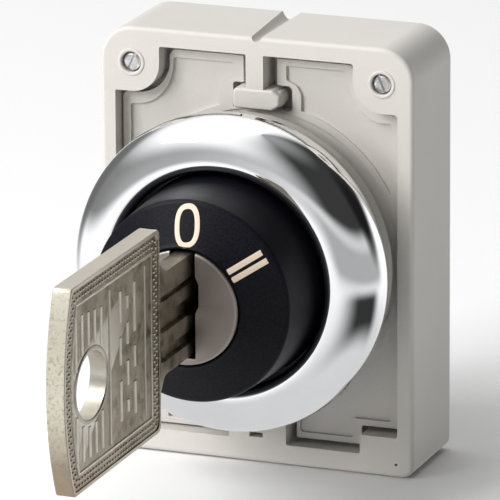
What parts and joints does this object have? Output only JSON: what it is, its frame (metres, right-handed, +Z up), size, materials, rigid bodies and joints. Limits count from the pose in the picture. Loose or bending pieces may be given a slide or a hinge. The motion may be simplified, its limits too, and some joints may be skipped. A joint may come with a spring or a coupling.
{
  "type": "selector key switch",
  "caption": "Key-operated selector switch: chrome ring bezel, black dial, metal lock with a flat key, and a light grey clamping housing that sits behind the panel.",
  "frame": {"origin": "on the switch axis, in the plane of the housing's front rim, which bears on the back of the panel", "axes": "-Y is the way the switch faces, along its axis; +X is to the right and +Z is up as seen from the front"},
  "size_m": [0.03, 0.0592, 0.0399],
  "materials": {
    "housing_grey": "satin moulded light grey",
    "inner_grey": "moulded mid grey",
    "seal_rubber": "matt light grey rubber",
    "dial_black": "fine grained satin black",
    "neck_black": "moulded black",
    "chrome": "mirror",
    "key_metal": "worn nickel silver",
    "plug_metal": "satin",
    "brass": "turned",
    "steel": "zinc plated"
  },
  "bodies": {
    "body": {"housing": "housing_grey", "latch_plate": "housing_grey", "rear_cover": "inner_grey", "screw_insert_left": "brass", "screw_insert_right": "brass", "cover_screw_left": "steel", "cover_screw_right": "steel", "neck_body": "neck_black", "panel_gasket": "seal_rubber", "bezel": "chrome", "dial_insert": "dial_black", "dial_seal": "seal_rubber", "lock_barrel": "brass", "plunger_spring_left": "steel", "plunger_spring_right": "steel", "driver_pin_1": "steel", "driver_spring_1": "steel", "driver_pin_2": "steel", "driver_spring_2": "steel", "driver_pin_3": "steel", "driver_spring_3": "steel", "driver_pin_4": "steel", "driver_spring_4": "steel", "driver_pin_5": "steel", "driver_spring_5": "steel"},
    "lock": {"lock_plug": "plug_metal", "plug_clip": "steel", "drive_cam": "inner_grey", "key_pin_1": "brass", "key_pin_2": "brass", "key_pin_3": "brass", "key_pin_4": "brass", "key_pin_5": "brass"},
    "key": {"key": "key_metal"},
    "plunger_left": {"plunger_left": "inner_grey"},
    "plunger_right": {"plunger_right": "inner_grey"},
    "clamp_left": {"clamp_screw_left": "steel"},
    "clamp_right": {"clamp_screw_right": "steel"}
  },
  "joints": [
    {"name": "plug_turn", "type": "hinge", "parent": "body", "child": "lock", "pos_m": [0, 0, 0], "axis": [0, 1, 0], "range_deg": [0, 60]},
    {"name": "key_slide", "type": "slide", "parent": "lock", "child": "key", "axis": [0, -1, 0], "range_m": [0, 0.02]},
    {"name": "plunger_left_slide", "type": "slide", "parent": "body", "child": "plunger_left", "axis": [0, 1, 0], "range_m": [-0.00131, 0], "deforming": ["plunger_spring_left"]},
    {"name": "plunger_right_slide", "type": "slide", "parent": "body", "child": "plunger_right", "axis": [0, 1, 0], "range_m": [0, 0.00131], "deforming": ["plunger_spring_right"]},
    {"name": "clamp_left_travel", "type": "slide", "parent": "body", "child": "clamp_left", "axis": [0, -1, 0], "range_m": [0, 0.0018]},
    {"name": "clamp_right_travel", "type": "slide", "parent": "body", "child": "clamp_right", "axis": [0, -1, 0], "range_m": [0, 0.0018]}
  ],
  "couplings": [
    {"joint": "plunger_left_slide", "follows": "plug_turn", "m_per_rad": -0.0012414},
    {"joint": "plunger_right_slide", "follows": "plug_turn", "m_per_rad": 0.0012414}
  ]
}
